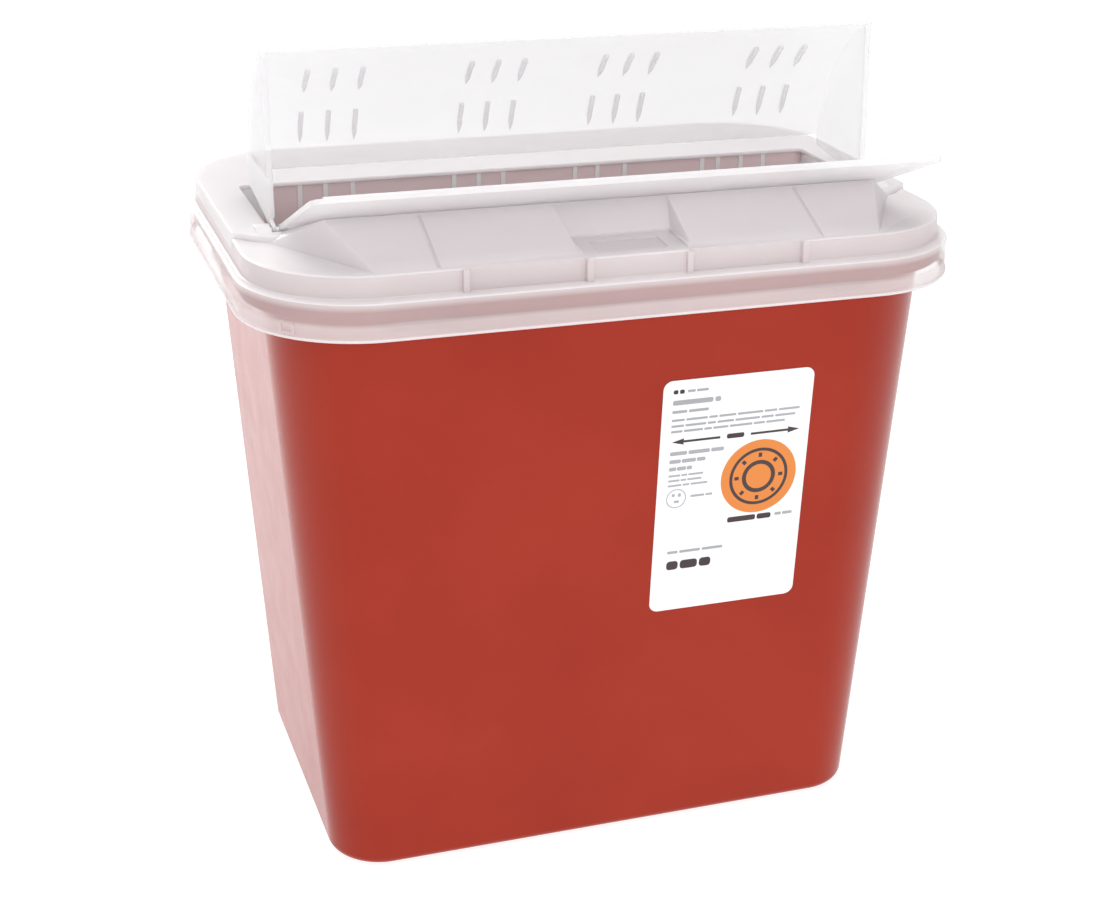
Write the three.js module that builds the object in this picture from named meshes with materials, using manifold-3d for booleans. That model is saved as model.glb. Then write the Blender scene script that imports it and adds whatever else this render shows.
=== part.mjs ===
// Sharps container: a tapered red tub, a milky snap-on lid and a counterbalanced door
// that swings on two pins. Millimetres, +Z up, the front faces -Y, origin at the base.
import * as THREE from 'three';
import { ConvexGeometry } from 'three/addons/geometries/ConvexGeometry.js';
import { mergeVertices } from 'three/addons/utils/BufferGeometryUtils.js';
import Module from 'manifold-3d';

const wasm = await Module();
wasm.setup();

// Tub
const BASE_HALF_X = 107.42;
const BASE_HALF_Y = 71.09;
const BASE_RADIUS = 20.5;
const DRAFT = 0.07325;
const RADIUS_GROWTH = 0.0992;
const TUB_WALL = 1.8;
const FLOOR = 2;
const FOOT_FILLET = 3.5;
const SHOULDER_Z = 222.5;
const RIM_TOP = 228.1;
const RIM_HALF_X = 130.9;
const RIM_HALF_Y = 89.4;
const RIM_RADIUS = 41.1;

// Lid
const SKIRT_BOTTOM = 216.8;
const SKIRT_HALF_X = 133;
const SKIRT_HALF_Y = 91.5;
const SKIRT_RADIUS = 43.2;
const SKIRT_WALL = 1.5;
const SKIRT_BEAD = 0.5;
const LEDGE_Z = 230;
const LEDGE_THICK = 1.6;
const STEP_HALF_X = 130.4;
const STEP_HALF_Y = 87.4;
const STEP_RADIUS = 39.8;
const STEP_CENTRE_Y = 1.3;
const STEP_DRAFT = 0.06;
const PAD_Z = 237.9;
const DECK_Z = 240;
const DECK_WALL = 1.7;

// Ramp that carries the open door's leaf
const RIDGE_Y = -55;
const RIDGE_Z = 249.4;
const RIDGE_HALF_X = 103;
const RAMP_FRONT_Y = -83.2;
const RAMP_FRONT_HALF_X = 92;
const RAMP_SIDE = [118.5, -38];
const RAMP_REAR = [114, -26.6];

// Finger channel in the middle of the ramp
const CHANNEL_HALF_X = 21.5;
const CHANNEL_FLOOR_HALF_X = 19.2;
const CHANNEL_REAR_Y = -65;
const POCKET_DEPTH = 1;
const POCKET_INSET_HALF_X = 12.7;

// Slot
const SLOT_HALF_X = 116.4;
const SLOT_REAR_RADIUS = 3;
const SLOT_FRONT_Y = -26.5;
const SLOT_REAR_Y = 34.5;
const SLOT_EAR_X = 109.5;
const SLOT_EAR_Y = -32;
const BAFFLE_BOTTOM = 222;
const BAFFLE_THICK = 1.6;
const BAFFLE_FRONT_Y = -18;
const BAFFLE_RIBS = [-93, -83, -72.4, -32, -22, -12, 18, 27.4, 39, 72.6, 79.5, 89.6, 99.5];

// Pivot
const PIVOT_Y = -28.5;
const PIVOT_Z = 239.6;
const PIN_RADIUS = 1;
const PIN_HEAD_RADIUS = 1.5;
const BORE_RADIUS = 1.08;
const EYE_RADIUS = 1.9;
const LUG_HALF_LENGTH = 6;
const LUG_RISE = 1.7;
const LUG_END_X = 121.6;
const BORE_END_X = 120.2;
const PIN_END_X = 119.9;

// Door
const HOOD_HALF_X = 115.6;
const HOOD_ARC_Y = -44.5;
const HOOD_ARC_Z = 243.5;
const HOOD_ARC_RADIUS = 62;
const HOOD_SHEET = 1;
const HOOD_END_WALL = 1.4;
const HOOD_TOP_DEG = 67.3;
const HOOD_LOW_DEG = 6;
const HOOD_END_LOW_DEG = 8;
const HOOD_FLANGE = [[-24, 242.4], [-22.1, 242.4], [-18.8, 299.8], [-20.7, 300.5]];
const HOOD_RIB_X = [15.7, 25.8, 35.9, 76.1, 86.2, 96.3];
const HOOD_RIB_ROWS = [[15.5, 28], [37, 50]];
const HOOD_RIB_WIDTH = 1.8;
const LEAF_HALF_X = 113.1;
const LEAF_LENGTH = 64.5;
const LEAF_START = 3.4;
const LEAF_TILT_DEG = 22.4;
const LEAF_THICK = 1.8;
const LEAF_RISE = 1.4;
const LEAF_CORNER = 4;
const LEAF_HUB = 2.5;

// Label
const LABEL_LEFT = 10.7;
const LABEL_RIGHT = 69.2;
const LABEL_BOTTOM = 96.2;
const LABEL_TOP = 190.2;
const LABEL_CORNER = 3.5;
const LABEL_THICK = 0.25;
const LABEL_GAP = 0.3;

const CORNER_STEPS = 9;
const RAD = Math.PI / 180;

function roundedRing(halfX, halfY, radius, z, centreY = 0) {
  const points = [];
  for (let corner = 0; corner < 4; corner += 1) {
    const signX = corner === 0 || corner === 3 ? 1 : -1;
    const signY = corner < 2 ? 1 : -1;
    for (let step = 0; step <= CORNER_STEPS; step += 1) {
      const angle = (corner + step / CORNER_STEPS) * Math.PI / 2;
      const x = signX * (halfX - radius) + radius * Math.cos(angle);
      const y = centreY + signY * (halfY - radius) + radius * Math.sin(angle);
      points.push(new THREE.Vector3(x, y, z));
    }
  }
  return points;
}

// Skins a closed body through rings of equal point count and caps both ends.
function loft(rings) {
  const count = rings[0].length;
  const vertices = rings.flat();
  const triangles = [];
  for (let ring = 0; ring + 1 < rings.length; ring += 1) {
    for (let i = 0; i < count; i += 1) {
      const a = ring * count + i;
      const b = ring * count + (i + 1) % count;
      triangles.push(a, b, b + count, a, b + count, a + count);
    }
  }
  const caps = [[rings[0], 0, true], [rings[rings.length - 1], (rings.length - 1) * count, false]];
  for (const [ring, first, facesDown] of caps) {
    const middle = vertices.length;
    const centre = new THREE.Vector3();
    for (const point of ring) centre.addScaledVector(point, 1 / count);
    vertices.push(centre);
    for (let i = 0; i < count; i += 1) {
      const next = first + (i + 1) % count;
      if (facesDown) triangles.push(middle, next, first + i);
      else triangles.push(middle, first + i, next);
    }
  }
  const geometry = new THREE.BufferGeometry().setFromPoints(vertices);
  geometry.setIndex(triangles);
  return geometry;
}

function solid(geometry) {
  const plain = geometry.clone();
  plain.deleteAttribute('normal');
  plain.deleteAttribute('uv');
  const merged = mergeVertices(plain, 1e-4);
  const mesh = new wasm.Mesh({
    numProp: 3,
    vertProperties: new Float32Array(merged.attributes.position.array),
    triVerts: new Uint32Array(merged.index.array),
  });
  return new wasm.Manifold(mesh);
}

function fromSolid(body) {
  const mesh = body.getMesh();
  const positions = new Float32Array(mesh.numVert * 3);
  for (let i = 0; i < mesh.numVert; i += 1) {
    for (let axis = 0; axis < 3; axis += 1) {
      positions[i * 3 + axis] = mesh.vertProperties[i * mesh.numProp + axis];
    }
  }
  const geometry = new THREE.BufferGeometry();
  geometry.setAttribute('position', new THREE.BufferAttribute(positions, 3));
  geometry.setIndex(new THREE.BufferAttribute(new Uint32Array(mesh.triVerts), 1));
  const flat = geometry.toNonIndexed();
  flat.computeVertexNormals();
  return flat;
}

function block(lowX, highX, lowY, highY, lowZ, highZ) {
  const geometry = new THREE.BoxGeometry(highX - lowX, highY - lowY, highZ - lowZ);
  geometry.translate((lowX + highX) / 2, (lowY + highY) / 2, (lowZ + highZ) / 2);
  return solid(geometry);
}

function hull(points) {
  return solid(new ConvexGeometry(points.map(([x, y, z]) => new THREE.Vector3(x, y, z))));
}

// A side profile of [y, z] points swept along X.
function sideProfile(points, lowX, highX) {
  const shape = new THREE.Shape(points.map(([y, z]) => new THREE.Vector2(y, z)));
  const geometry = new THREE.ExtrudeGeometry(shape, { depth: highX - lowX, bevelEnabled: false });
  const toSide = new THREE.Matrix4().makeBasis(
    new THREE.Vector3(0, 1, 0), new THREE.Vector3(0, 0, 1), new THREE.Vector3(1, 0, 0));
  geometry.applyMatrix4(toSide);
  geometry.translate(lowX, 0, 0);
  return solid(geometry);
}

// A plan outline of [x, y] points raised along Z.
function planProfile(points, lowZ, highZ) {
  const shape = new THREE.Shape(points.map(([x, y]) => new THREE.Vector2(x, y)));
  const geometry = new THREE.ExtrudeGeometry(shape, { depth: highZ - lowZ, bevelEnabled: false });
  geometry.translate(0, 0, lowZ);
  return solid(geometry);
}

function arcPoints(centreY, centreZ, radius, fromDeg, toDeg, steps) {
  const points = [];
  for (let i = 0; i <= steps; i += 1) {
    const angle = (fromDeg + (toDeg - fromDeg) * i / steps) * RAD;
    points.push([centreY + radius * Math.cos(angle), centreZ + radius * Math.sin(angle)]);
  }
  return points;
}

function pivotRod(radius, lowX, highX) {
  const circle = arcPoints(PIVOT_Y, PIVOT_Z, radius, 0, 360, 32).slice(0, -1);
  return sideProfile(circle, lowX, highX);
}

// Mirrors a [low, high] span in X for the side given by +1 or -1.
function span(side, nearX, farX) {
  return side > 0 ? [nearX, farX] : [-farX, -nearX];
}

function tubRing(z, inset) {
  const halfX = BASE_HALF_X + DRAFT * z - inset;
  const halfY = BASE_HALF_Y + DRAFT * z - inset;
  return roundedRing(halfX, halfY, BASE_RADIUS + RADIUS_GROWTH * z - inset, z);
}

function rimRing(z, inset) {
  return roundedRing(RIM_HALF_X - inset, RIM_HALF_Y - inset, RIM_RADIUS - inset, z);
}

function makeTub() {
  const rings = [];
  for (let step = 0; step <= 4; step += 1) {
    const angle = step * Math.PI / 8;
    const inset = FOOT_FILLET * (1 - Math.sin(angle));
    rings.push(tubRing(FOOT_FILLET * (1 - Math.cos(angle)), inset));
  }
  rings.push(tubRing(SHOULDER_Z, 0));
  rings.push(rimRing(SHOULDER_Z + 0.3, 0));
  rings.push(rimRing(RIM_TOP, 0));
  rings.push(rimRing(RIM_TOP, TUB_WALL));
  rings.push(rimRing(SHOULDER_Z + TUB_WALL + 0.5, TUB_WALL));
  rings.push(tubRing(SHOULDER_Z + TUB_WALL, TUB_WALL));
  rings.push(tubRing(FLOOR + FOOT_FILLET, TUB_WALL));
  rings.push(tubRing(FLOOR, TUB_WALL + FOOT_FILLET / 2));
  return loft(rings);
}

function stepRing(z, inset) {
  const lean = inset + STEP_DRAFT * (z - LEDGE_Z);
  return roundedRing(STEP_HALF_X - lean, STEP_HALF_Y - lean, STEP_RADIUS - lean, z, STEP_CENTRE_Y);
}

function deckOutline(inset) {
  const riser = [[140, -24], [127, -31], [123.6, -35], [119, -37.6], [108, -40]];
  const front = riser.map(([x, y]) => [x, y + inset]);
  const mirrored = front.map(([x, y]) => [-x, y]).reverse();
  return [...front, ...mirrored, [-140, 100], [140, 100]].reverse();
}

function deckBlock(inset, top) {
  const plan = planProfile(deckOutline(inset), LEDGE_Z + 2, top);
  return plan.intersect(solid(loft([stepRing(LEDGE_Z, inset), stepRing(DECK_Z + 1, inset)])));
}

// The ramp as a convex roof; the inset makes the hollow underneath it.
function rampBlock(inset) {
  const foot = PAD_Z - (inset > 0 ? DECK_WALL + 0.5 : 0.2);
  const points = [];
  for (const side of [-1, 1]) {
    points.push([side * (RAMP_FRONT_HALF_X - inset), RAMP_FRONT_Y + inset * 2, foot + 0.2]);
    points.push([side * (RAMP_SIDE[0] - inset), RAMP_SIDE[1] - inset, foot + 0.2]);
    points.push([side * (RAMP_REAR[0] - inset), RAMP_REAR[1] - inset, foot + 0.2]);
    points.push([side * (RIDGE_HALF_X - inset), RIDGE_Y, RIDGE_Z - inset * 1.15]);
    points.push([side * (RAMP_FRONT_HALF_X - inset), RAMP_FRONT_Y + inset * 2, foot - 1.5]);
    points.push([side * (RAMP_SIDE[0] - inset), RAMP_SIDE[1] - inset, foot - 1.5]);
    points.push([side * (RAMP_REAR[0] - inset), RAMP_REAR[1] - inset, foot - 1.5]);
  }
  return hull(points);
}

// The wedge taken out of the ramp for fingers; grow thickens it for the wall around it.
function channelWedge(grow) {
  const points = [];
  for (const side of [-1, 1]) {
    points.push([side * (CHANNEL_HALF_X + grow), RIDGE_Y + 0.2 + grow, RIDGE_Z + 0.2]);
    points.push([side * (CHANNEL_HALF_X + grow), -95, RIDGE_Z + 0.2]);
    points.push([side * (CHANNEL_HALF_X + grow), -95, PAD_Z + 0.1 - grow]);
    points.push([side * (CHANNEL_FLOOR_HALF_X + grow), -95, PAD_Z + 0.1 - grow]);
    points.push([side * (CHANNEL_FLOOR_HALF_X + grow), CHANNEL_REAR_Y + grow, DECK_Z - grow]);
  }
  return hull(points);
}

function pocketCut(grow) {
  const rear = CHANNEL_REAR_Y + grow;
  const low = DECK_Z - POCKET_DEPTH - grow;
  const front = RAMP_FRONT_Y - grow;
  const profile = [[rear, low], [rear, DECK_Z + 2], [front, DECK_Z + 2], [front, PAD_Z - grow]];
  const halfX = CHANNEL_FLOOR_HALF_X - 0.4 + grow;
  return sideProfile(profile.reverse(), -halfX, halfX);
}

// Shallow rectangular panel in the pocket's floor.
function pocketInset() {
  const rear = CHANNEL_REAR_Y - 4;
  const front = RAMP_FRONT_Y + 3;
  const slope = (DECK_Z - POCKET_DEPTH - PAD_Z) / (CHANNEL_REAR_Y - RAMP_FRONT_Y);
  const floorAt = (y) => PAD_Z + slope * (y - RAMP_FRONT_Y);
  const profile = [[rear, floorAt(rear) - 0.5], [rear, DECK_Z], [front, DECK_Z], [front, floorAt(front) - 0.5]];
  return sideProfile(profile.reverse(), -POCKET_INSET_HALF_X, POCKET_INSET_HALF_X);
}

function lidShell() {
  const skin = loft([
    roundedRing(SKIRT_HALF_X + SKIRT_BEAD, SKIRT_HALF_Y + SKIRT_BEAD, SKIRT_RADIUS + SKIRT_BEAD, SKIRT_BOTTOM),
    roundedRing(SKIRT_HALF_X + SKIRT_BEAD, SKIRT_HALF_Y + SKIRT_BEAD, SKIRT_RADIUS + SKIRT_BEAD, SKIRT_BOTTOM + 1),
    roundedRing(SKIRT_HALF_X, SKIRT_HALF_Y, SKIRT_RADIUS, SKIRT_BOTTOM + 1.6),
    roundedRing(SKIRT_HALF_X, SKIRT_HALF_Y, SKIRT_RADIUS, LEDGE_Z - 0.8),
    roundedRing(SKIRT_HALF_X - 0.8, SKIRT_HALF_Y - 0.8, SKIRT_RADIUS - 0.8, LEDGE_Z),
    stepRing(LEDGE_Z + 0.1, 0),
    stepRing(PAD_Z, 0),
  ]);
  let body = solid(skin).add(deckBlock(0, DECK_Z)).add(rampBlock(0));
  body = body.subtract(channelWedge(0)).subtract(pocketCut(0)).subtract(pocketInset());
  for (const side of [-1, 1]) {
    const [low, high] = span(side, 18.2, 61.8);
    body = body.subtract(block(low, high, -95, STEP_CENTRE_Y - STEP_HALF_Y + 1.2, LEDGE_Z, 250));
    for (const x of [18.2, 61.8]) {
      body = body.add(block(side * x - 1.2, side * x + 1.2, -87.2, -84, LEDGE_Z - 0.5, PAD_Z - 0.3));
    }
  }
  const skirtRoom = loft([
    roundedRing(SKIRT_HALF_X - SKIRT_WALL, SKIRT_HALF_Y - SKIRT_WALL, SKIRT_RADIUS - SKIRT_WALL, 200),
    roundedRing(SKIRT_HALF_X - SKIRT_WALL, SKIRT_HALF_Y - SKIRT_WALL, SKIRT_RADIUS - SKIRT_WALL,
      LEDGE_Z - LEDGE_THICK),
  ]);
  let room = solid(loft([stepRing(LEDGE_Z - 8, DECK_WALL), stepRing(PAD_Z - DECK_WALL, DECK_WALL)]));
  room = room.add(deckBlock(DECK_WALL, DECK_Z - DECK_WALL)).add(rampBlock(DECK_WALL));
  room = room.subtract(channelWedge(DECK_WALL)).subtract(pocketCut(DECK_WALL));
  for (const side of [-1, 1]) {
    const [low, high] = span(side, 16.6, 63.4);
    room = room.subtract(block(low, high, -95, STEP_CENTRE_Y - STEP_HALF_Y + 1.2 + DECK_WALL, LEDGE_Z - 9, 250));
  }
  return body.subtract(solid(skirtRoom).add(room));
}

function slotCut() {
  const rearCorner = arcPoints(SLOT_HALF_X - SLOT_REAR_RADIUS, SLOT_REAR_Y - SLOT_REAR_RADIUS,
    SLOT_REAR_RADIUS, 0, 90, 6);
  const right = [
    [SLOT_EAR_X, SLOT_FRONT_Y], [SLOT_EAR_X, SLOT_EAR_Y], [SLOT_HALF_X, SLOT_EAR_Y], ...rearCorner,
  ];
  const left = right.map(([x, y]) => [-x, y]).reverse();
  return planProfile([...right, ...left], LEDGE_Z - 20, DECK_Z + 5);
}

// Low crowned pad on the deck that holds one pin's bore.
function pivotLug(side) {
  const crown = (LUG_HALF_LENGTH ** 2 + LUG_RISE ** 2) / (2 * LUG_RISE);
  const half = Math.asin(LUG_HALF_LENGTH / crown) / RAD;
  const top = arcPoints(PIVOT_Y, DECK_Z + LUG_RISE - crown, crown, 90 - half, 90 + half, 12);
  const foot = DECK_Z - 4.2;
  const profile = [[PIVOT_Y - LUG_HALF_LENGTH, foot], [PIVOT_Y + LUG_HALF_LENGTH, foot], ...top];
  return sideProfile(profile, ...span(side, SLOT_HALF_X, LUG_END_X));
}

// Walls that hang from the slot's rear edge and ends; the rear one carries ribs.
function baffle() {
  const face = SLOT_REAR_Y + 0.6;
  const low = SLOT_HALF_X + 0.3;
  const high = low + BAFFLE_THICK;
  let wall = block(-high, high, face, face + BAFFLE_THICK, BAFFLE_BOTTOM, DECK_Z - 0.5);
  for (const side of [-1, 1]) {
    const [near, far] = span(side, low, high - 0.3);
    wall = wall.add(block(near, far, BAFFLE_FRONT_Y, face + 0.8, BAFFLE_BOTTOM + 0.5, DECK_Z - 0.8));
  }
  for (const x of BAFFLE_RIBS) {
    wall = wall.add(block(x - 0.8, x + 0.8, face - 0.5, face + 0.5, BAFFLE_BOTTOM + 2, DECK_Z - 0.5));
  }
  return wall;
}

// Hooks that catch under the tub's rim, and thin stiffeners between them.
function skirtHooks() {
  const wallY = SKIRT_HALF_Y - SKIRT_WALL;
  const wallX = SKIRT_HALF_X - SKIRT_WALL;
  const low = SHOULDER_Z - 3;
  const high = SHOULDER_Z - 0.3;
  let hooks = block(-90, -67, -wallY - 0.3, -wallY + 1.9, low, high);
  hooks = hooks.add(block(62, 84, -wallY - 0.3, -wallY + 1.9, low, high));
  hooks = hooks.add(block(-80, -56, wallY - 1.9, wallY + 0.3, low, high));
  hooks = hooks.add(block(56, 80, wallY - 1.9, wallY + 0.3, low, high));
  for (const side of [-1, 1]) {
    const [near, far] = span(side, wallX - 2.4, wallX + 0.3);
    hooks = hooks.add(block(near, far, -12, 12, low, high));
  }
  for (const x of [-15, 10.5]) {
    hooks = hooks.add(block(x - 0.6, x + 0.6, -wallY - 0.3, -wallY + 1.9, SKIRT_BOTTOM + 0.5, high));
  }
  return hooks;
}

// Small square frame moulded on the skirt's front left corner.
function cornerFrame() {
  const centreX = -(SKIRT_HALF_X - SKIRT_RADIUS);
  const centreY = -(SKIRT_HALF_Y - SKIRT_RADIUS);
  const plate = new THREE.BoxGeometry(1.6, 6.4, 4.6);
  const window = new THREE.BoxGeometry(3, 4, 2.4);
  window.translate(1.5, 0, 0);
  for (const geometry of [plate, window]) {
    geometry.translate(SKIRT_RADIUS - 0.2, 0, 0);
    geometry.rotateZ(224 * RAD);
    geometry.translate(centreX, centreY, 220.6);
  }
  return solid(plate).subtract(solid(window));
}

function makeLid() {
  let body = lidShell().subtract(slotCut()).add(baffle()).add(skirtHooks()).add(cornerFrame());
  for (const side of [-1, 1]) {
    body = body.add(pivotLug(side));
    const [boreLow, boreHigh] = span(side, SLOT_HALF_X - 1, BORE_END_X);
    body = body.subtract(pivotRod(BORE_RADIUS, boreLow, boreHigh));
  }
  return fromSolid(body);
}

function hoodArc(radius, fromDeg, toDeg, steps) {
  return arcPoints(HOOD_ARC_Y, HOOD_ARC_Z, radius, fromDeg, toDeg, steps);
}

// End wall: it follows the sheet at the back and ends on a line that fans out from the pivot.
function hoodEndProfile() {
  const rear = hoodArc(HOOD_ARC_RADIUS, HOOD_TOP_DEG, HOOD_LOW_DEG, 18);
  const eye = arcPoints(PIVOT_Y, PIVOT_Z, EYE_RADIUS, HOOD_END_LOW_DEG, -240, 20);
  const low = HOOD_END_LOW_DEG * RAD;
  const heel = [PIVOT_Y + 45.2 * Math.cos(low), PIVOT_Z + 45.2 * Math.sin(low)];
  return [...rear, heel, ...eye, HOOD_FLANGE[0]].reverse();
}

function makeHood() {
  const outside = hoodArc(HOOD_ARC_RADIUS, HOOD_LOW_DEG, HOOD_TOP_DEG, 22);
  const inside = hoodArc(HOOD_ARC_RADIUS - HOOD_SHEET, HOOD_TOP_DEG, HOOD_LOW_DEG, 22);
  let body = sideProfile([...outside, ...inside], -HOOD_HALF_X, HOOD_HALF_X);
  for (const side of [-1, 1]) {
    const [low, high] = span(side, HOOD_HALF_X - HOOD_END_WALL, HOOD_HALF_X);
    body = body.add(sideProfile(hoodEndProfile(), low, high));
    const [flangeLow, flangeHigh] = span(side, HOOD_HALF_X - HOOD_END_WALL - 0.7, HOOD_HALF_X);
    body = body.add(sideProfile(HOOD_FLANGE, flangeLow, flangeHigh));
    for (const x of HOOD_RIB_X) {
      for (const [low, high] of HOOD_RIB_ROWS) body = body.add(hoodRib(side * x, low, high));
    }
    body = body.subtract(pivotRod(BORE_RADIUS, side * HOOD_HALF_X - 4, side * HOOD_HALF_X + 4));
  }
  return fromSolid(body);
}

// A rib on the hood's inner face that fades out towards its lower end.
function hoodRib(x, lowDeg, highDeg) {
  const seat = hoodArc(HOOD_ARC_RADIUS - HOOD_SHEET / 2, lowDeg, highDeg, 4);
  const crest = hoodArc(HOOD_ARC_RADIUS - HOOD_SHEET - 1.2, highDeg, lowDeg + 4, 3);
  return sideProfile([...seat, ...crest], x - HOOD_RIB_WIDTH / 2, x + HOOD_RIB_WIDTH / 2);
}

// Places a flat shape drawn in (x, distance from the pivot) on the leaf's plane, above the pivot.
function leafMatrix() {
  const tilt = LEAF_TILT_DEG * RAD;
  const along = new THREE.Vector3(0, -Math.cos(tilt), Math.sin(tilt));
  const across = new THREE.Vector3(-1, 0, 0);
  const normal = new THREE.Vector3().crossVectors(across, along);
  const matrix = new THREE.Matrix4().makeBasis(across, along, normal);
  return matrix.setPosition(0, PIVOT_Y + LEAF_RISE * Math.sin(tilt) * Math.cos(tilt),
    PIVOT_Z + LEAF_RISE * Math.cos(tilt) ** 2);
}

function leafShape() {
  const shape = new THREE.Shape();
  shape.moveTo(-LEAF_HALF_X, LEAF_START);
  shape.lineTo(LEAF_HALF_X, LEAF_START);
  shape.lineTo(LEAF_HALF_X, LEAF_LENGTH - LEAF_CORNER);
  shape.absarc(LEAF_HALF_X - LEAF_CORNER, LEAF_LENGTH - LEAF_CORNER, LEAF_CORNER, 0, Math.PI / 2);
  shape.absarc(-LEAF_HALF_X + LEAF_CORNER, LEAF_LENGTH - LEAF_CORNER, LEAF_CORNER, Math.PI / 2, Math.PI);
  shape.lineTo(-LEAF_HALF_X, LEAF_START);
  return shape;
}

function makeLeaf() {
  const plate = new THREE.ExtrudeGeometry(leafShape(), { depth: LEAF_THICK, bevelEnabled: false, curveSegments: 6 });
  plate.translate(0, 0, -LEAF_THICK + 0.1);
  const bead = new THREE.BoxGeometry(2 * (LEAF_HALF_X - LEAF_CORNER), 1.4, 0.8);
  bead.translate(0, LEAF_LENGTH - 0.9, 0.3);
  const matrix = leafMatrix();
  let body = solid(plate.applyMatrix4(matrix)).add(solid(bead.applyMatrix4(matrix)));
  for (const side of [-1, 1]) {
    const [low, high] = span(side, LEAF_HALF_X - LEAF_HUB, LEAF_HALF_X);
    const web = new THREE.BoxGeometry(LEAF_HUB, LEAF_START + 2, LEAF_THICK);
    web.translate(-side * (LEAF_HALF_X - LEAF_HUB / 2), (LEAF_START + 2) / 2, -LEAF_THICK / 2 + 0.1);
    body = body.add(pivotRod(EYE_RADIUS, low, high)).add(solid(web.applyMatrix4(matrix)));
    body = body.subtract(pivotRod(BORE_RADIUS, low - 1, high + 1));
  }
  return fromSolid(body);
}

function makePin(side) {
  const [low, high] = span(side, LEAF_HALF_X - LEAF_HUB - 0.4, PIN_END_X);
  const [headLow, headHigh] = span(side, LEAF_HALF_X - LEAF_HUB - 1.1, LEAF_HALF_X - LEAF_HUB - 0.3);
  return fromSolid(pivotRod(PIN_RADIUS, low, high).add(pivotRod(PIN_HEAD_RADIUS, headLow, headHigh)));
}

function makeLabel() {
  const tilt = Math.atan(DRAFT);
  const middleZ = (LABEL_BOTTOM + LABEL_TOP) / 2;
  const halfX = (LABEL_RIGHT - LABEL_LEFT) / 2;
  const halfUp = (LABEL_TOP - LABEL_BOTTOM) / 2 / Math.cos(tilt);
  const outline = roundedRing(halfX, halfUp, LABEL_CORNER, 0).map((p) => new THREE.Vector2(p.x, p.y));
  const sheet = new THREE.ExtrudeGeometry(new THREE.Shape(outline), { depth: LABEL_THICK, bevelEnabled: false });
  const up = new THREE.Vector3(0, -Math.sin(tilt), Math.cos(tilt));
  const right = new THREE.Vector3(1, 0, 0);
  const outward = new THREE.Vector3().crossVectors(right, up);
  const onFace = new THREE.Vector3((LABEL_LEFT + LABEL_RIGHT) / 2, -(BASE_HALF_Y + DRAFT * middleZ), middleZ);
  onFace.addScaledVector(outward, LABEL_GAP);
  sheet.applyMatrix4(new THREE.Matrix4().makeBasis(right, up, outward).setPosition(onFace));
  return fromSolid(solid(sheet));
}

const RED = { color: 0xa82a1c, roughness: 0.38, metalness: 0 };
const MILKY = { color: 0xdcd8da, roughness: 0.42, metalness: 0 };
const CLEAR = { color: 0xeeeef0, roughness: 0.35, metalness: 0 };
const PAPER = { color: 0xebecf0, roughness: 0.55, metalness: 0 };

const group = new THREE.Group();
const pieces = [
  ['tub', makeTub(), RED],
  ['lid', makeLid(), MILKY],
  ['door_hood', makeHood(), CLEAR],
  ['door_leaf', makeLeaf(), CLEAR],
  ['left_pivot_pin', makePin(-1), CLEAR],
  ['right_pivot_pin', makePin(1), CLEAR],
  ['front_label', makeLabel(), PAPER],
];
for (const [name, geometry, look] of pieces) {
  const mesh = new THREE.Mesh(geometry, new THREE.MeshStandardMaterial(look));
  mesh.name = name;
  group.add(mesh);
}

export default group;
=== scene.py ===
"""Sharps container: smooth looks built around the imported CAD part. Metres, +Z up, front at -Y."""
import math

import bmesh
import bpy
from mathutils import Matrix, Vector


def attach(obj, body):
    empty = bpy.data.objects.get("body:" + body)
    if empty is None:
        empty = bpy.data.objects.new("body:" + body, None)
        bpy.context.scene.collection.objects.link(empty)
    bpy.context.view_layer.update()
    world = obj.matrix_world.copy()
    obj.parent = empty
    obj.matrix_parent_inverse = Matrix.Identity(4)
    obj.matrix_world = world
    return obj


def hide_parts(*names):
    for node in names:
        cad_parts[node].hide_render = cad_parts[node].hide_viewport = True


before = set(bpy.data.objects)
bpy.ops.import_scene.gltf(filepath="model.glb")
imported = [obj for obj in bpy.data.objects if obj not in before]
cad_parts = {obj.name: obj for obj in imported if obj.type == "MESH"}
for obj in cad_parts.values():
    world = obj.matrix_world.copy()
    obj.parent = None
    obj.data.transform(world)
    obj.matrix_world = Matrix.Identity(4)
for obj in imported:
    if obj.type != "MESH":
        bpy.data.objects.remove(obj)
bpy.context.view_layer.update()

MM = 0.001
CORNER_STEPS = 28
SMOOTH_ANGLE = math.radians(28)

# Tub, millimetres
BASE_HALF_X, BASE_HALF_Y, BASE_RADIUS = 107.42, 71.09, 20.5
DRAFT, RADIUS_GROWTH = 0.07325, 0.0992
TUB_WALL, FLOOR, FOOT_FILLET = 1.8, 2.0, 3.5
SHOULDER_Z, RIM_TOP = 222.5, 228.1
RIM_HALF_X, RIM_HALF_Y, RIM_RADIUS = 130.9, 89.4, 41.1

# Lid, millimetres
SKIRT_BOTTOM, LEDGE_Z, PAD_Z, DECK_Z = 216.8, 230.0, 237.9, 240.0
SKIRT_HALF_X, SKIRT_HALF_Y, SKIRT_RADIUS = 133.0, 91.5, 43.2
SKIRT_WALL, SKIRT_BEAD, LEDGE_THICK, DECK_WALL = 1.5, 0.5, 1.6, 1.7
STEP_HALF_X, STEP_HALF_Y, STEP_RADIUS = 130.4, 87.4, 39.8
STEP_CENTRE_Y, STEP_DRAFT = 1.3, 0.06
RECESS_X, RECESS_ROOM_X, RECESS_FACE_Y = (18.2, 61.8), (16.6, 63.4), STEP_CENTRE_Y - STEP_HALF_Y + 1.2
CLEAR_FRONT_Y, CLEAR_TOP_Z = -95.0, 250.0
RISER = [(140, -24), (127, -31), (123.6, -35), (119, -37.6), (108, -40)]

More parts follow.
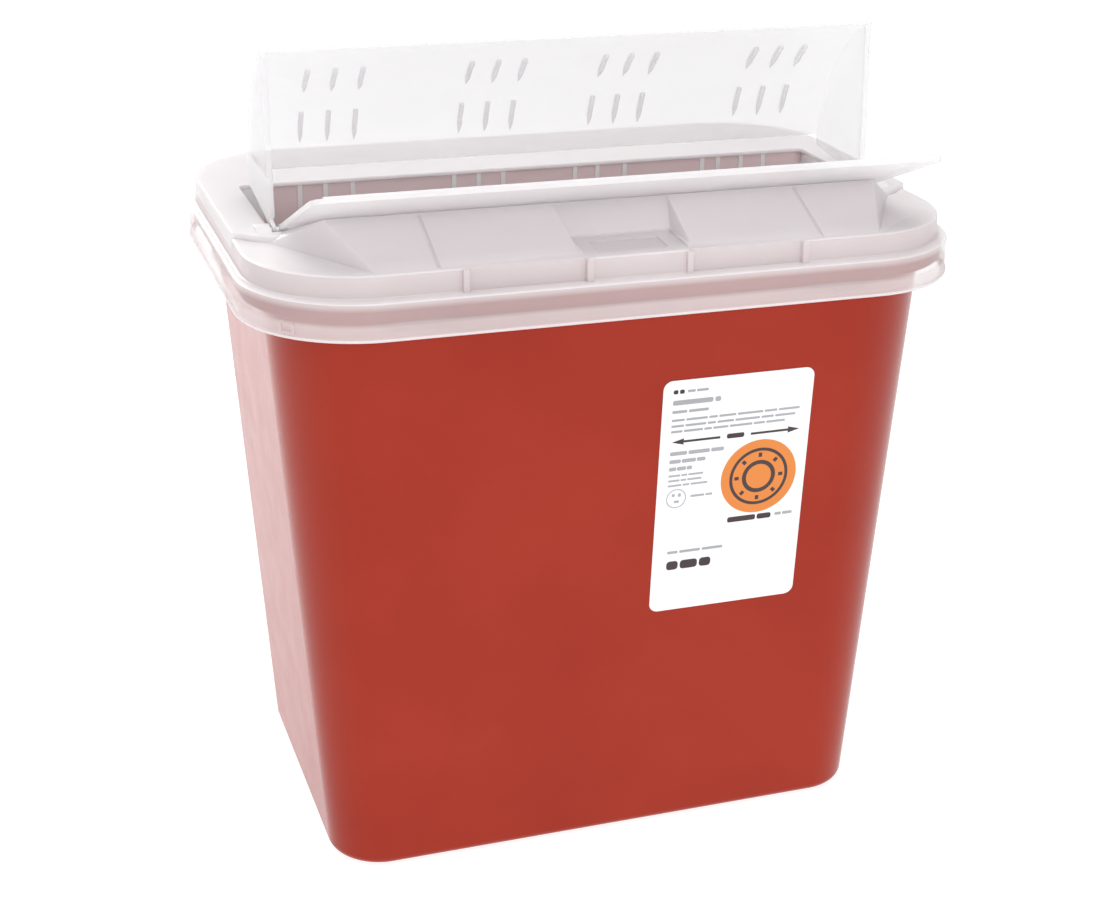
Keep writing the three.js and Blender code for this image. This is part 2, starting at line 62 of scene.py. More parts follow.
# Front ramp and its finger channel, millimetres
RIDGE_Y, RIDGE_Z, RIDGE_HALF_X = -55.0, 249.4, 103.0
RAMP_FRONT_Y, RAMP_FRONT_HALF_X = -83.2, 92.0
RAMP_SIDE, RAMP_REAR = (118.5, -38.0), (114.0, -26.6)
CHANNEL_HALF_X, CHANNEL_FLOOR_HALF_X, CHANNEL_REAR_Y = 21.5, 19.2, -65.0
POCKET_DEPTH, POCKET_INSET_HALF_X = 1.0, 12.7
PANEL_LINE_X = 70.0

# Slot, millimetres
SLOT_HALF_X, SLOT_FRONT_Y, SLOT_REAR_Y, SLOT_REAR_RADIUS = 116.4, -26.5, 34.5, 3.0
SLOT_EAR_X, SLOT_EAR_Y = 109.5, -32.0
BAFFLE_BOTTOM, BAFFLE_THICK, BAFFLE_FRONT_Y = 222.0, 1.6, -18.0
END_PAD_X = -107.0
BAFFLE_RIBS = [-93, -83, -72.4, -32, -22, -12, 18, 27.4, 39, 72.6, 79.5, 89.6, 99.5]

# Pivot and door, millimetres
PIVOT_Y, PIVOT_Z = -28.5, 239.6
PIN_RADIUS, PIN_HEAD_RADIUS, BORE_RADIUS, EYE_RADIUS = 1.0, 1.5, 1.08, 1.9
LUG_HALF_LENGTH, LUG_RISE, LUG_END_X, BORE_END_X, PIN_END_X = 6.0, 1.7, 121.6, 120.2, 119.9
HOOD_HALF_X, HOOD_ARC_Y, HOOD_ARC_Z, HOOD_ARC_RADIUS = 115.6, -44.5, 243.5, 62.0
HOOD_SHEET, HOOD_END_WALL, HOOD_TOP_DEG, HOOD_LOW_DEG, HOOD_END_LOW_DEG = 1.0, 1.4, 67.3, 6.0, 8.0
HOOD_FLANGE = [(-24, 242.4), (-22.1, 242.4), (-18.8, 299.8), (-20.7, 300.5)]
HOOD_HEEL_REACH = 45.2
HOOD_RIB_X = [15.7, 25.8, 35.9, 76.1, 86.2, 96.3]
HOOD_RIB_ROWS = [(15.5, 28.0), (37.0, 50.0)]
LEAF_HALF_X, LEAF_LENGTH, LEAF_START, LEAF_TILT_DEG, LEAF_RISE = 113.1, 64.5, 3.4, 22.4, 1.4
LEAF_THICK, LEAF_CORNER, LEAF_HUB = 1.8, 4.0, 2.5


def rounded_ring(half_x, half_y, radius, z, centre_y=0.0, steps=CORNER_STEPS):
    points = []
    for corner in range(4):
        sign_x = 1 if corner in (0, 3) else -1
        sign_y = 1 if corner < 2 else -1
        for step in range(steps + 1):
            angle = (corner + step / steps) * math.pi / 2
            points.append((sign_x * (half_x - radius) + radius * math.cos(angle),
                           centre_y + sign_y * (half_y - radius) + radius * math.sin(angle), z))
    return points


def mesh_object(name, vertices, faces):
    mesh = bpy.data.meshes.new(name)
    mesh.from_pydata([Vector(v) * MM for v in vertices], [], faces)
    mesh.update()
    obj = bpy.data.objects.new(name, mesh)
    bpy.context.collection.objects.link(obj)
    return obj


def loft(name, rings):
    count = len(rings[0])
    vertices = [p for ring in rings for p in ring]
    faces = []
    for r in range(len(rings) - 1):
        for i in range(count):
            a, b = r * count + i, r * count + (i + 1) % count
            faces.append((a, b, b + count, a + count))
    faces.append(tuple(reversed(range(count))))
    last = (len(rings) - 1) * count
    faces.append(tuple(range(last, last + count)))
    return mesh_object(name, vertices, faces)


def block(low, high):
    (x0, y0, z0), (x1, y1, z1) = low, high
    vertices = [(x0, y0, z0), (x1, y0, z0), (x1, y1, z0), (x0, y1, z0),
                (x0, y0, z1), (x1, y0, z1), (x1, y1, z1), (x0, y1, z1)]
    faces = [(3, 2, 1, 0), (4, 5, 6, 7), (0, 1, 5, 4), (1, 2, 6, 5), (2, 3, 7, 6), (3, 0, 4, 7)]
    return mesh_object("block", vertices, faces)


def hull(points):
    obj = mesh_object("hull", points, [])
    bm = bmesh.new()
    bm.from_mesh(obj.data)
    found = bmesh.ops.convex_hull(bm, input=bm.verts)
    spare = found["geom_interior"] + found["geom_unused"]
    unused = {v for v in spare if isinstance(v, bmesh.types.BMVert)}
    bmesh.ops.delete(bm, geom=list(unused), context="VERTS")
    bmesh.ops.dissolve_limit(bm, angle_limit=math.radians(0.5), verts=bm.verts, edges=bm.edges)
    bmesh.ops.recalc_face_normals(bm, faces=bm.faces)
    bm.to_mesh(obj.data)
    bm.free()
    return obj


def prism(points, low, high, axis):
    """Sweeps an outline along axis 0 (points are y, z) or axis 2 (points are x, y)."""
    count = len(points)
    vertices = []
    for at in (low, high):
        for u, v in points:
            vertices.append((at, u, v) if axis == 0 else (u, v, at))
    faces = [tuple(reversed(range(count))), tuple(range(count, 2 * count))]
    for i in range(count):
        j = (i + 1) % count
        faces.append((i, j, j + count, i + count))
    obj = mesh_object("prism", vertices, faces)
    bm = bmesh.new()
    bm.from_mesh(obj.data)
    bmesh.ops.recalc_face_normals(bm, faces=bm.faces)
    bm.to_mesh(obj.data)
    bm.free()
    return obj


def combine(body, tool, operation):
    """Joins or cuts with an exact boolean, applies it and drops the tool."""
    modifier = body.modifiers.new("combine", "BOOLEAN")
    modifier.operation = operation
    modifier.solver = "EXACT"
    modifier.object = tool
    graph = bpy.context.evaluated_depsgraph_get()
    result = bpy.data.meshes.new_from_object(body.evaluated_get(graph))
    body.modifiers.clear()
    old = body.data
    body.data = result
    bpy.data.meshes.remove(old)
    bpy.data.objects.remove(tool, do_unlink=True)
    return body


def join(body, *tools):
    for tool in tools:
        combine(body, tool, "UNION")
    return body


def cut(body, *tools):
    for tool in tools:
        combine(body, tool, "DIFFERENCE")
    return body


def arc(centre_y, centre_z, radius, from_deg, to_deg, steps):
    angles = [math.radians(from_deg + (to_deg - from_deg) * i / steps) for i in range(steps + 1)]
    return [(centre_y + radius * math.cos(a), centre_z + radius * math.sin(a)) for a in angles]


def pivot_rod(radius, low, high):
    return prism(arc(PIVOT_Y, PIVOT_Z, radius, 0, 360, 48)[:-1], low, high, 0)


def span(side, near, far):
    return (near, far) if side > 0 else (-far, -near)


def finish_mesh(obj, name, body, slot, *nodes):
    obj.name = name
    obj.data.name = name
    bm = bmesh.new()
    bm.from_mesh(obj.data)
    bmesh.ops.remove_doubles(bm, verts=bm.verts, dist=1e-6)
    bmesh.ops.dissolve_degenerate(bm, dist=1e-6, edges=bm.edges)
    bmesh.ops.recalc_face_normals(bm, faces=bm.faces)
    bm.to_mesh(obj.data)
    bm.free()
    obj.data.polygons.foreach_set("use_smooth", [True] * len(obj.data.polygons))
    obj.data.set_sharp_from_angle(angle=SMOOTH_ANGLE)
    weights = obj.modifiers.new("weights", "WEIGHTED_NORMAL")
    weights.keep_sharp = True
    weights.weight = 90
    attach(obj, body)
    if nodes:
        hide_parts(*nodes)
    return obj


# ---------------------------------------------------------------- materials
def new_material(name):
    material = bpy.data.materials.new(name)
    material.use_nodes = True
    nodes = material.node_tree.nodes
    return material, nodes, material.node_tree.links, nodes["Principled BSDF"]


def noise(nodes, links, coordinates, scale, detail=3.0, roughness=0.5):
    node = nodes.new("ShaderNodeTexNoise")
    node.inputs["Scale"].default_value = scale
    node.inputs["Detail"].default_value = detail
    node.inputs["Roughness"].default_value = roughness
    links.new(coordinates, node.inputs["Vector"])
    return node.outputs["Fac"]


def ramp(nodes, links, factor, stops):
    node = nodes.new("ShaderNodeValToRGB")
    elements = node.color_ramp.elements
    while len(elements) < len(stops):
        elements.new(0.5)
    for element, (position, colour) in zip(elements, stops):
        element.position = position
        element.color = (*colour, 1)
    links.new(factor, node.inputs["Fac"])
    return node.outputs["Color"]


def spread(nodes, links, factor, low, high):
    node = nodes.new("ShaderNodeMapRange")
    node.inputs["To Min"].default_value = low
    node.inputs["To Max"].default_value = high
    links.new(factor, node.inputs["Value"])
    return node.outputs["Result"]


def moulded(name, colours, roughness, grain=900.0, bump=0.04, edge=0.0, alpha=1.0, glow=0.0,
            specular=0.5):
    """Injection-moulded plastic: cloudy colour, uneven gloss, fine grain, rounded edges."""
    material, nodes, links, shader = new_material(name)
    place = nodes.new("ShaderNodeTexCoord").outputs["Object"]
    cloud = noise(nodes, links, place, 14.0, 4.0, 0.55)
    tint = ramp(nodes, links, cloud, [(0.3, colours[0]), (0.7, colours[1])])
    links.new(tint, shader.inputs["Base Color"])
    patches = noise(nodes, links, place, 60.0, 5.0, 0.6)
    links.new(spread(nodes, links, patches, *roughness), shader.inputs["Roughness"])
    bumps = nodes.new("ShaderNodeBump")
    bumps.inputs["Strength"].default_value = bump
    bumps.inputs["Distance"].default_value = 0.0002
    links.new(noise(nodes, links, place, grain, 2.0), bumps.inputs["Height"])
    if edge:
        soft = nodes.new("ShaderNodeBevel")
        soft.samples = 6
        soft.inputs["Radius"].default_value = edge * MM
        links.new(soft.outputs["Normal"], bumps.inputs["Normal"])
    links.new(bumps.outputs["Normal"], shader.inputs["Normal"])
    shader.inputs["IOR"].default_value = 1.49
    shader.inputs["Specular IOR Level"].default_value = specular
    shader.inputs["Subsurface Weight"].default_value = glow
    shader.inputs["Subsurface Radius"].default_value = (1.0, 0.95, 0.95)
    shader.inputs["Subsurface Scale"].default_value = 5 * MM
    shader.inputs["Alpha"].default_value = alpha
    return material


def alpha_by_height(material, stops):
    """Makes the plastic more or less clear by height at rest; stops are (millimetres, alpha)."""
    nodes, links = material.node_tree.nodes, material.node_tree.links
    split = nodes.new("ShaderNodeSeparateXYZ")
    links.new(nodes.new("ShaderNodeTexCoord").outputs["Object"], split.inputs["Vector"])
    height = nodes.new("ShaderNodeMapRange")
    low, high = stops[0][0], stops[-1][0]
    height.inputs["From Min"].default_value = low * MM
    height.inputs["From Max"].default_value = high * MM
    links.new(split.outputs["Z"], height.inputs["Value"])
    colours = [((z - low) / (high - low), (alpha, alpha, alpha)) for z, alpha in stops]
    clearness = ramp(nodes, links, height.outputs["Result"], colours)
    links.new(clearness, nodes["Principled BSDF"].inputs["Alpha"])


RED = moulded("red_polypropylene", [(0.325, 0.018, 0.004), (0.365, 0.025, 0.007)], (0.18, 0.28),
              grain=1400.0, bump=0.05, specular=0.25)
MILKY = moulded("milky_polypropylene", [(0.86, 0.80, 0.815), (0.91, 0.85, 0.865)], (0.30, 0.44),
                grain=1600.0, bump=0.04, edge=0.7, alpha=0.80, glow=0.6)
SKIRT = moulded("milky_polypropylene_skirt", [(0.84, 0.76, 0.765), (0.90, 0.82, 0.825)], (0.30, 0.44),
                grain=1600.0, bump=0.04, edge=0.5, alpha=0.36, glow=0.5)
alpha_by_height(SKIRT, [(217.0, 0.52), (221.6, 0.50), (223.2, 0.26), (227.2, 0.28), (229.4, 0.60)])
FROSTED = moulded("frosted_polypropylene", [(0.80, 0.79, 0.81), (0.85, 0.84, 0.86)], (0.28, 0.40),
                  grain=1600.0, bump=0.04, edge=0.5, alpha=0.23, glow=0.5)
FROSTED_END = moulded("frosted_polypropylene_end", [(0.80, 0.79, 0.81), (0.85, 0.84, 0.86)],
                      (0.28, 0.40), grain=1600.0, bump=0.04, edge=0.5, glow=0.5)
alpha_by_height(FROSTED_END, [(240.0, 0.78), (256.5, 0.70), (258.5, 0.30), (270.0, 0.24)])
# Leaf: a brighter copy of the frosted plastic, partly painted light that lifts the shaded underside; the
# subsurface glow is real translucency.
LEAF_PARTLY_PAINTED_LIGHT = moulded("frosted_polypropylene_leaf_partly_painted_light", [(0.90, 0.88, 0.90), (0.95, 0.93, 0.95)], (0.28, 0.40),
               grain=1600.0, bump=0.04, edge=0.4, alpha=0.60, glow=0.8)
RIB = moulded("frosted_polypropylene_rib", [(0.66, 0.65, 0.68), (0.74, 0.73, 0.76)], (0.3, 0.4),
              edge=0.3, alpha=0.30)
# Slot wall: a pink, brightened copy of the lid plastic, painted glow that stands in for red light from
# the tub coming through it and for light the wall lacks.
PAINTED_GLOW_BAFFLE = moulded("milky_polypropylene_baffle_painted_glow", [(0.96, 0.70, 0.71), (0.99, 0.76, 0.77)], (0.34, 0.46),
                 grain=1600.0, bump=0.04, edge=0.4, alpha=0.92, glow=0.5)
# Upright tier faces: a darker, pinker copy of the lid plastic, painted shade on the sides.
PAINTED_SHADE_TIER = moulded("milky_polypropylene_tier_painted_shade", [(0.80, 0.70, 0.71), (0.86, 0.76, 0.77)], (0.30, 0.44),
               grain=1600.0, bump=0.04, edge=0.5, alpha=0.72, glow=0.5)
# Slot wall ribs and ends: a brighter, opaque copy of the lid plastic, painted light that makes them look
# lit in the deck's shade.
PAINTED_LIGHT_RIBS = moulded("milky_polypropylene_rib_painted_light", [(0.93, 0.91, 0.92), (0.97, 0.95, 0.96)], (0.34, 0.46),
                 grain=1600.0, bump=0.04, glow=0.6)
PIN = moulded("pin_plastic", [(0.80, 0.79, 0.80), (0.86, 0.85, 0.86)], (0.3, 0.4), edge=0.3)
FILM = moulded("label_film", [(0.88, 0.89, 0.92), (0.92, 0.93, 0.96)], (0.40, 0.52),
               grain=2600.0, bump=0.03)
INK = moulded("label_ink", [(0.035, 0.020, 0.022), (0.060, 0.035, 0.036)], (0.42, 0.55))
PALE_INK = moulded("label_pale_ink", [(0.36, 0.36, 0.38), (0.44, 0.44, 0.46)], (0.42, 0.55))
ORANGE_INK = moulded("label_orange_ink", [(0.72, 0.21, 0.030), (0.78, 0.25, 0.045)], (0.40, 0.52))


# ---------------------------------------------------------------- tub
def tub_ring(z, inset):
    return rounded_ring(BASE_HALF_X + DRAFT * z - inset, BASE_HALF_Y + DRAFT * z - inset,
                        BASE_RADIUS + RADIUS_GROWTH * z - inset, z)


def rim_ring(z, inset):
    return rounded_ring(RIM_HALF_X - inset, RIM_HALF_Y - inset, RIM_RADIUS - inset, z)


def build_tub():
    rings = []
    for step in range(9):
        angle = step * math.pi / 16
        rings.append(tub_ring(FOOT_FILLET * (1 - math.cos(angle)), FOOT_FILLET * (1 - math.sin(angle))))
    for share in range(1, 12):
        rings.append(tub_ring(FOOT_FILLET + (SHOULDER_Z - 0.6 - FOOT_FILLET) * share / 11, 0))
    rings.append(rim_ring(SHOULDER_Z + 0.2, 0.5))
    rings.append(rim_ring(SHOULDER_Z + 0.7, 0))
    rings.append(rim_ring(RIM_TOP - 0.5, 0))
    rings.append(rim_ring(RIM_TOP, 0.5))
    rings.append(rim_ring(RIM_TOP, TUB_WALL - 0.4))
    rings.append(rim_ring(RIM_TOP - 0.4, TUB_WALL))
    rings.append(rim_ring(SHOULDER_Z + TUB_WALL + 0.5, TUB_WALL))
    rings.append(tub_ring(SHOULDER_Z + TUB_WALL, TUB_WALL))
    for share in range(1, 9):
        rings.append(tub_ring(SHOULDER_Z + (FLOOR + FOOT_FILLET - SHOULDER_Z) * share / 8, TUB_WALL))
    for step in range(1, 7):
        angle = step * math.pi / 12
        rings.append(tub_ring(FLOOR + FOOT_FILLET * (1 - math.sin(angle)),
                              TUB_WALL + FOOT_FILLET * (1 - math.cos(angle))))
    return finish_mesh(loft("tub", rings), "tub_body", "container", "red_plastic", "tub")


# ---------------------------------------------------------------- lid
def step_ring(z, inset):
    lean = inset + STEP_DRAFT * (z - LEDGE_Z)
    return rounded_ring(STEP_HALF_X - lean, STEP_HALF_Y - lean, STEP_RADIUS - lean, z, STEP_CENTRE_Y)


def skirt_ring(z, grow):
    return rounded_ring(SKIRT_HALF_X + grow, SKIRT_HALF_Y + grow, SKIRT_RADIUS + grow, z)


def deck_block(inset, top):
    front = [(x, y + inset) for x, y in RISER]
    outline = front + [(-x, y) for x, y in reversed(front)] + [(-140, 100), (140, 100)]
    plan = prism(outline, LEDGE_Z + 2, top, 2)
    step = loft("step", [step_ring(LEDGE_Z, inset), step_ring(DECK_Z + 1, inset)])
    return combine(plan, step, "INTERSECT")


def ramp_block(inset):
    foot = PAD_Z - (DECK_WALL + 0.5 if inset else 0.2)
    points = []
    for side in (-1, 1):
        for z in (foot + 0.2, foot - 1.5):
            points.append((side * (RAMP_FRONT_HALF_X - inset), RAMP_FRONT_Y + inset * 2, z))
            points.append((side * (RAMP_SIDE[0] - inset), RAMP_SIDE[1] - inset, z))
            points.append((side * (RAMP_REAR[0] - inset), RAMP_REAR[1] - inset, z))
        points.append((side * (RIDGE_HALF_X - inset), RIDGE_Y, RIDGE_Z - inset * 1.15))
    return hull(points)


def channel_wedge(grow):
    points = []
    for side in (-1, 1):
        wide, narrow = side * (CHANNEL_HALF_X + grow), side * (CHANNEL_FLOOR_HALF_X + grow)
        points.append((wide, RIDGE_Y + 0.2 + grow, RIDGE_Z + 0.2))
        points.append((wide, CLEAR_FRONT_Y, RIDGE_Z + 0.2))
        points.append((wide, CLEAR_FRONT_Y, PAD_Z + 0.1 - grow))
        points.append((narrow, CLEAR_FRONT_Y, PAD_Z + 0.1 - grow))
        points.append((narrow, CHANNEL_REAR_Y + grow, DECK_Z - grow))
    return hull(points)


def pocket_cut(grow):
    rear, front = CHANNEL_REAR_Y + grow, RAMP_FRONT_Y - grow
    profile = [(rear, DECK_Z - POCKET_DEPTH - grow), (rear, DECK_Z + 2),
               (front, DECK_Z + 2), (front, PAD_Z - grow)]
    half = CHANNEL_FLOOR_HALF_X - 0.4 + grow
    return prism(profile, -half, half, 0)


def pocket_inset():
    rear, front = CHANNEL_REAR_Y - 4, RAMP_FRONT_Y + 3
    slope = (DECK_Z - POCKET_DEPTH - PAD_Z) / (CHANNEL_REAR_Y - RAMP_FRONT_Y)

    def floor_at(y):
        return PAD_Z + slope * (y - RAMP_FRONT_Y)

    profile = [(rear, floor_at(rear) - 0.5), (rear, DECK_Z),
               (front, DECK_Z), (front, floor_at(front) - 0.5)]
    return prism(profile, -POCKET_INSET_HALF_X, POCKET_INSET_HALF_X, 0)


def lid_outside():
    rings = [skirt_ring(SKIRT_BOTTOM, SKIRT_BEAD - 0.3), skirt_ring(SKIRT_BOTTOM + 0.3, SKIRT_BEAD),
             skirt_ring(SKIRT_BOTTOM + 1.1, SKIRT_BEAD), skirt_ring(SKIRT_BOTTOM + 1.7, 0)]
    for step in range(6):
        angle = step * math.pi / 10
        rings.append(skirt_ring(LEDGE_Z - 1 + math.sin(angle), math.cos(angle) - 1))
    rings += [step_ring(LEDGE_Z + 0.05, -0.5), step_ring(LEDGE_Z + 0.5, 0)]
    for step in range(5):
        angle = step * math.pi / 8
        rings.append(step_ring(PAD_Z - 0.7 + 0.7 * math.sin(angle), 0.7 * (1 - math.cos(angle))))
    return loft("lid", rings)


def lid_room():
    room = loft("room", [step_ring(LEDGE_Z - 8, DECK_WALL), step_ring(PAD_Z - DECK_WALL, DECK_WALL)])
    join(room, deck_block(DECK_WALL, DECK_Z - DECK_WALL), ramp_block(DECK_WALL))
    cut(room, channel_wedge(DECK_WALL), pocket_cut(DECK_WALL))
    for side in (-1, 1):
        low, high = span(side, *RECESS_ROOM_X)
        corner = (high, RECESS_FACE_Y + DECK_WALL, CLEAR_TOP_Z)
        cut(room, block((low, CLEAR_FRONT_Y, LEDGE_Z - 9), corner))
    skirt_top = skirt_ring(LEDGE_Z - LEDGE_THICK, -SKIRT_WALL)
    skirt_room = loft("skirt_room", [skirt_ring(200, -SKIRT_WALL), skirt_top])
    return join(skirt_room, room)


def slot_cut():
    centre = (SLOT_HALF_X - SLOT_REAR_RADIUS, SLOT_REAR_Y - SLOT_REAR_RADIUS)
    corner = arc(*centre, SLOT_REAR_RADIUS, 0, 90, 14)
    right = [(SLOT_EAR_X, SLOT_FRONT_Y), (SLOT_EAR_X, SLOT_EAR_Y), (SLOT_HALF_X, SLOT_EAR_Y), *corner]
    return prism(right + [(-x, y) for x, y in reversed(right)], LEDGE_Z - 20, DECK_Z + 5, 2)


def pivot_lug(side):
    """Low crowned pad on the deck that holds one pin's bore."""
    crown = (LUG_HALF_LENGTH ** 2 + LUG_RISE ** 2) / (2 * LUG_RISE)
    half = math.degrees(math.asin(LUG_HALF_LENGTH / crown))
    foot = DECK_Z - 4.2
    top = arc(PIVOT_Y, DECK_Z + LUG_RISE - crown, crown, 90 - half, 90 + half, 24)
    outline = [(PIVOT_Y - LUG_HALF_LENGTH, foot), (PIVOT_Y + LUG_HALF_LENGTH, foot), *top]
    return prism(outline, *span(side, SLOT_HALF_X, LUG_END_X), 0)


def corner_frame():
    plate = block((-0.8, -3.2, -2.3), (0.8, 3.2, 2.3))
    cut(plate, block((0.0, -2.0, -1.2), (3.0, 2.0, 1.2)))
    out = Vector((SKIRT_RADIUS - 0.2, 0, 0)) * MM
    corner = Vector((-(SKIRT_HALF_X - SKIRT_RADIUS), -(SKIRT_HALF_Y - SKIRT_RADIUS), 220.6)) * MM
    turn = Matrix.Rotation(math.radians(224), 4, "Z")
    plate.data.transform(Matrix.Translation(corner) @ turn @ Matrix.Translation(out))
    return plate


def panel_line(x):
    """A fine groove down the ramp from its ridge to the front edge."""
    slope = (RIDGE_Z - PAD_Z) / (RIDGE_Y - RAMP_FRONT_Y)

    def ramp_at(y):
        return PAD_Z + slope * (y - RAMP_FRONT_Y)

    top, low = RIDGE_Y - 1, RAMP_FRONT_Y + 0.5
    profile = [(top, ramp_at(top) - 0.35), (top, ramp_at(top) + 3),
               (low, ramp_at(low) + 3), (low, ramp_at(low) - 0.35)]
    return prism(profile, x - 0.45, x + 0.45, 0)


def skirt_ribs():
    """Stiffeners and rim hooks on the skirt's inner face, seen through it as pale lines."""
    wall = SKIRT_HALF_Y - SKIRT_WALL
    wall_x = SKIRT_HALF_X - SKIRT_WALL
    low, high = SHOULDER_Z - 3, SHOULDER_Z - 0.3
    tools = [block((-90, -wall - 0.3, low), (-67, -wall + 1.9, high)),
             block((62, -wall - 0.3, low), (84, -wall + 1.9, high)),
             block((-80, wall - 1.9, low), (-56, wall + 0.3, high)),
             block((56, wall - 1.9, low), (80, wall + 0.3, high))]
    for side in (-1, 1):
        near, far = span(side, wall_x - 2.4, wall_x + 0.3)
        tools.append(block((near, -12, low), (far, 12, high)))
    for x in (-66.5, -15, 10.5, 84.5):
        low_corner = (x - 0.5, -wall - 0.3, SKIRT_BOTTOM + 0.5)
        tools.append(block(low_corner, (x + 0.5, -wall + 0.45, LEDGE_Z - 1)))
    return tools


def lid_material_index(body, face):
    """0 plain plastic, 1 skirt, 2 slot wall with painted glow, 3 the wall's ribs and ends with painted
    light, 4 upright sides of the tier with painted shade.
    """
    places = [body.data.vertices[v].co / MM for v in face.vertices]
    low, high = min(p.z for p in places), max(p.z for p in places)
    at_rib = all(abs(p.y - SLOT_REAR_Y - 0.1) < 0.05 for p in places)
    at_end = all(abs(abs(p.x) - SLOT_HALF_X - 0.3) < 0.05 for p in places)
    # the slot wall's ribs and ends get the painted light copy
    if high < DECK_Z and (at_rib or at_end):
        return 3
    # the upright tier faces get the painted shade copy
    if low > LEDGE_Z - 0.1 and high < PAD_Z + 0.05 and abs(face.normal.z) < 0.5:
        return 4
    # the slot wall's face gets the painted glow copy
    if high < DECK_Z and all(abs(p.y - SLOT_REAR_Y - 0.6) < 0.2 for p in places):
        return 2
    return 1 if SKIRT_BOTTOM + 1.2 < high < LEDGE_Z - 0.2 else 0


def slot_walls(body):
    """Hangs the slot's rear wall, its end walls, its end pad and its ribs under the deck."""
    face = SLOT_REAR_Y + 0.6
    inner = SLOT_HALF_X + 0.3
    outer = inner + BAFFLE_THICK
    join(body, block((-outer, face, BAFFLE_BOTTOM), (outer, face + BAFFLE_THICK, DECK_Z - 0.5)))
    for side in (-1, 1):
        near, far = span(side, inner, outer - 0.3)
        low_corner = (near, BAFFLE_FRONT_Y, BAFFLE_BOTTOM + 0.5)
        join(body, block(low_corner, (far, face + 0.8, DECK_Z - 0.8)))
    low_corner = (-outer + 0.4, face - 0.5, BAFFLE_BOTTOM + 2)
    join(body, block(low_corner, (END_PAD_X, face + 0.5, DECK_Z - 0.6)))
    for x in BAFFLE_RIBS:
        low_corner = (x - 0.9, face - 0.5, BAFFLE_BOTTOM + 2)
        join(body, block(low_corner, (x + 0.9, face + 0.5, DECK_Z - 0.5)))


def build_lid():
    body = lid_outside()
    join(body, deck_block(0, DECK_Z), ramp_block(0))
    cut(body, channel_wedge(0), pocket_cut(0), pocket_inset())
    for side in (-1, 1):
        low, high = span(side, *RECESS_X)
        cut(body, block((low, CLEAR_FRONT_Y, LEDGE_Z), (high, RECESS_FACE_Y, CLEAR_TOP_Z)))
        for x in RECESS_X:
            low_corner = (side * x - 1.1, -87.2, LEDGE_Z - 0.5)
            join(body, block(low_corner, (side * x + 1.1, -84, PAD_Z - 0.3)))
        cut(body, panel_line(side * PANEL_LINE_X))
    cut(body, lid_room(), slot_cut())
    slot_walls(body)
    join(body, *skirt_ribs(), corner_frame())
    for side in (-1, 1):
        join(body, pivot_lug(side))
        cut(body, pivot_rod(BORE_RADIUS, *span(side, SLOT_HALF_X - 1, BORE_END_X)))
    finish_mesh(body, "lid_body", "container", "milky_plastic", "lid")
    # the last three materials are painted glow, painted light and painted shade copies of the lid plastic
    for material in (MILKY, SKIRT, PAINTED_GLOW_BAFFLE, PAINTED_LIGHT_RIBS, PAINTED_SHADE_TIER):
        body.data.materials.append(material)
    for face in body.data.polygons:
        face.material_index = lid_material_index(body, face)


# ---------------------------------------------------------------- door
def hood_arc(radius, from_deg, to_deg, steps):
    return arc(HOOD_ARC_Y, HOOD_ARC_Z, radius, from_deg, to_deg, steps)


def hood_rib(x, low_deg, high_deg):
    """A rib that is square at its upper end and fades and narrows to a point at its lower end."""
    vertices, steps = [], 10
    for i in range(steps + 1):
        share = i / steps
        angle = math.radians(low_deg + (high_deg - low_deg) * share)
        half = 0.95 * min(1.0, 0.12 + share * 3.2)
        depth = 1.3 * min(1.0, 0.15 + share * 2.5)
        for radius, dx in ((HOOD_ARC_RADIUS - 0.5, -half), (HOOD_ARC_RADIUS - 0.5, half),
                           (HOOD_ARC_RADIUS - HOOD_SHEET - depth, half * 0.7),
                           (HOOD_ARC_RADIUS - HOOD_SHEET - depth, -half * 0.7)):
            vertices.append((x + dx, HOOD_ARC_Y + radius * math.cos(angle),
                             HOOD_ARC_Z + radius * math.sin(angle)))
    faces = [(0, 1, 2, 3), (4 * steps + 3, 4 * steps + 2, 4 * steps + 1, 4 * steps)]
    for i in range(steps):
        for k in range(4):
            a, b = 4 * i + k, 4 * i + (k + 1) % 4
            faces.append((a, a + 4, b + 4, b))
    rib = mesh_object("rib", vertices, faces)
    bm = bmesh.new()
    bm.from_mesh(rib.data)
    bmesh.ops.recalc_face_normals(bm, faces=bm.faces)
    bm.to_mesh(rib.data)
    bm.free()
    return rib


